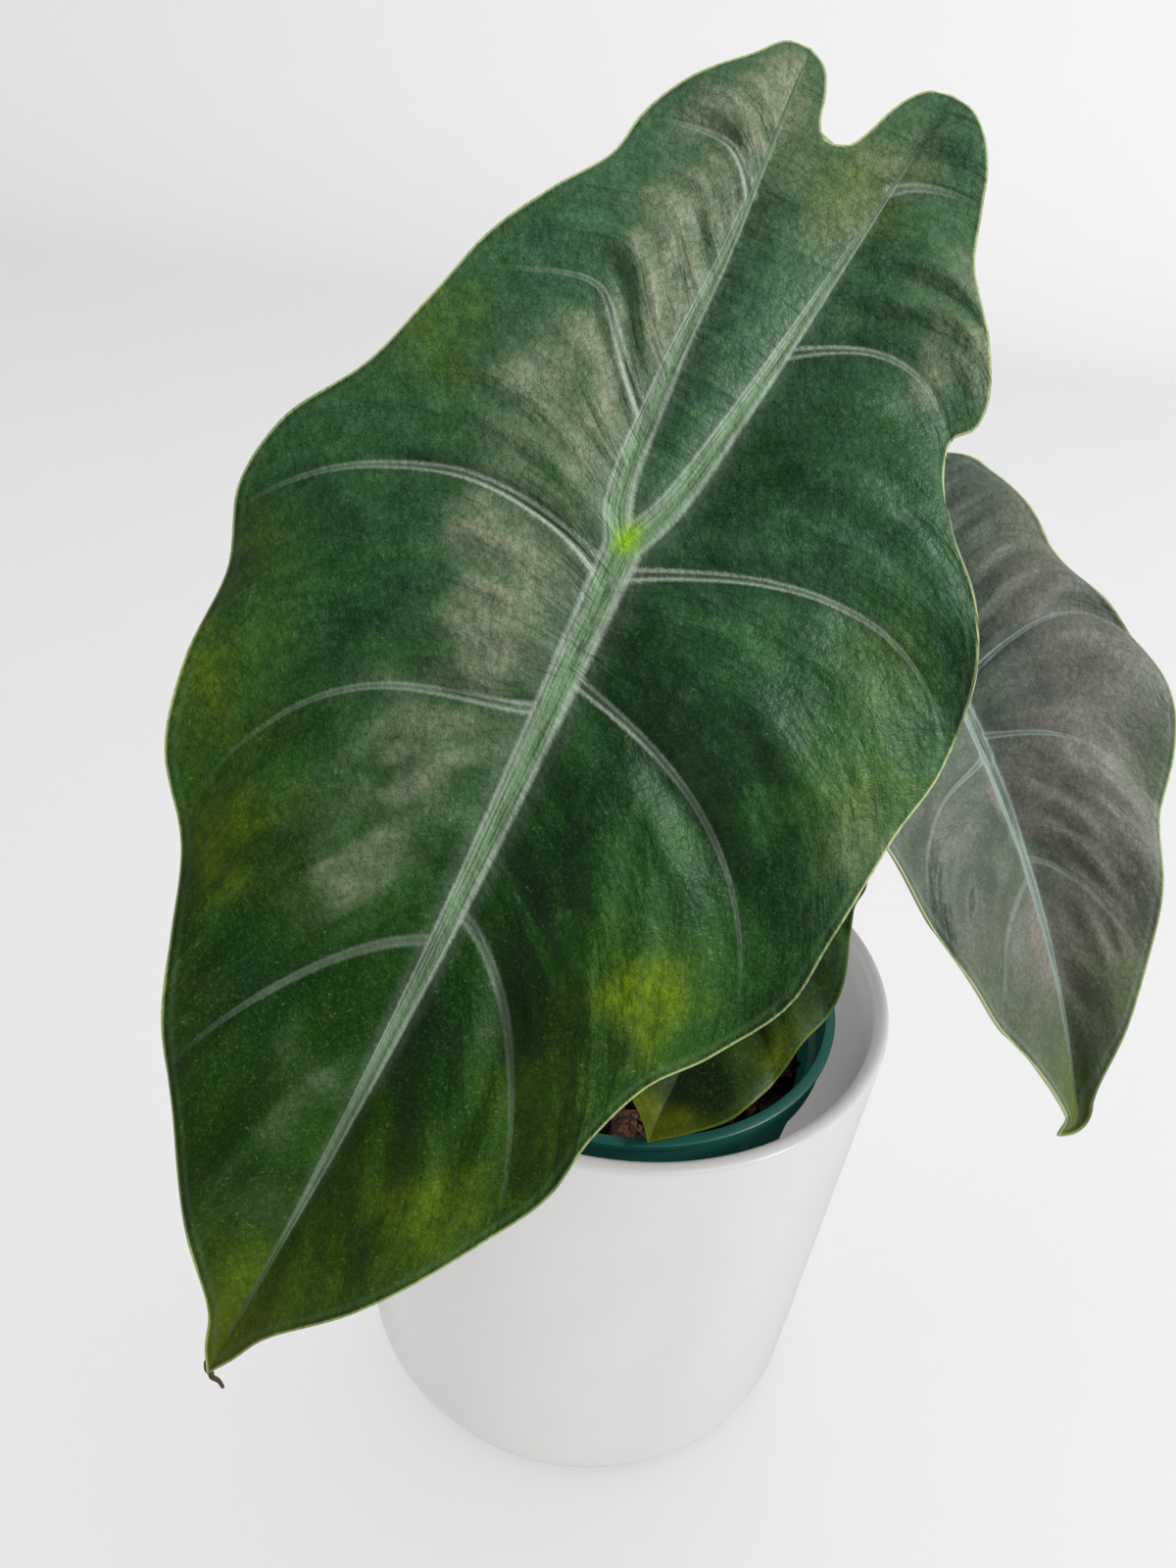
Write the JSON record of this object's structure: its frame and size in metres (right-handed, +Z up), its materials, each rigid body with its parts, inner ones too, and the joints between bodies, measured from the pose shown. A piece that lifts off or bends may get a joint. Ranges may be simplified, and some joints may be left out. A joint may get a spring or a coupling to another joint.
{
  "type": "potted alocasia chantrieri",
  "caption": "Potted alocasia chantrieri: arrow-shaped dark green leaves with pale veins on fleshy stalks, in a nursery pot inside a white glazed cover pot.",
  "frame": {"origin": "centre of the cover pot's base, on the surface that the pot stands on", "axes": "+Z up along the pot's axis; -Y towards the viewer of the picture, the side that the large leaf hangs to; +X to that viewer's right"},
  "size_m": [0.2204, 0.1922, 0.3144],
  "materials": {
    "white_glaze": "satin white glaze",
    "green_plastic": "dark green blow-moulded plastic",
    "bark_mix": "damp bark chips and peat",
    "crown_skin": "rough papery stem base",
    "stalk_skin": "smooth fleshy skin",
    "leaf_skin": "leathery leaf with a soft sheen"
  },
  "bodies": {
    "root": {"cover_pot": "white_glaze", "nursery_pot": "green_plastic", "soil": "bark_mix", "crown": "crown_skin", "petiole_large": "stalk_skin", "blade_large": "leaf_skin", "petiole_side": "stalk_skin", "blade_side": "leaf_skin", "petiole_low": "stalk_skin", "blade_low": "leaf_skin"}
  },
  "joints": []
}
